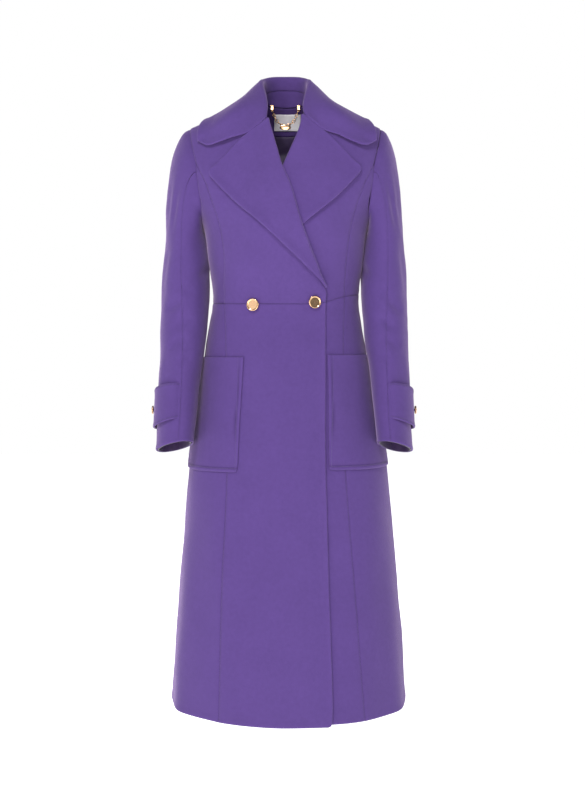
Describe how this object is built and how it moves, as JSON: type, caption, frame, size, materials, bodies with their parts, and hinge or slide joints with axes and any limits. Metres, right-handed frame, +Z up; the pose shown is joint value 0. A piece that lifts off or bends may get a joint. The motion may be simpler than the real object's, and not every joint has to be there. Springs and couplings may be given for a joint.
{
  "type": "flared long coat",
  "caption": "Double-breasted long coat in the shape it has when worn: fitted bodice, wide turned-down collar and lapels, flared skirt, patch pockets, strapped sleeves and gold buttons.",
  "frame": {"origin": "middle of the neck base, level with the neck seam at the centre back, where the coat is held when it is worn or hung", "axes": "+Z up along the coat's length, +Y towards the back, +X towards the wearer's left"},
  "size_m": [0.4888, 0.3918, 1.1516],
  "materials": {
    "coating": "soft matt wool nap",
    "lining": "dark satin weave",
    "label": "bare woven satin",
    "gold_trim": "polished pale gold plating"
  },
  "bodies": {
    "root": {"bodice_back_left": "coating", "bodice_back_right": "coating", "bodice_front_left": "coating", "bodice_front_right": "coating", "bodice_side_left": "coating", "bodice_side_right": "coating", "button_cuff_left": "gold_trim", "button_cuff_right": "gold_trim", "button_front_left": "gold_trim", "button_front_right": "gold_trim", "collar": "coating", "collar_stand": "coating", "hanging_chain": "gold_trim", "lapel_left": "coating", "lapel_right": "coating", "lining_back": "lining", "lining_cuff_left": "lining", "lining_cuff_right": "lining", "neck_facing": "coating", "neck_label": "label", "pocket_left": "coating", "pocket_right": "coating", "skirt_back_left": "coating", "skirt_back_right": "coating", "skirt_front_left": "coating", "skirt_front_right": "coating", "skirt_side_left": "coating", "skirt_side_right": "coating", "sleeve_strap_left": "coating", "sleeve_strap_right": "coating", "sleeve_under_left": "coating", "sleeve_under_right": "coating", "sleeve_upper_left": "coating", "sleeve_upper_right": "coating"}
  },
  "joints": []
}
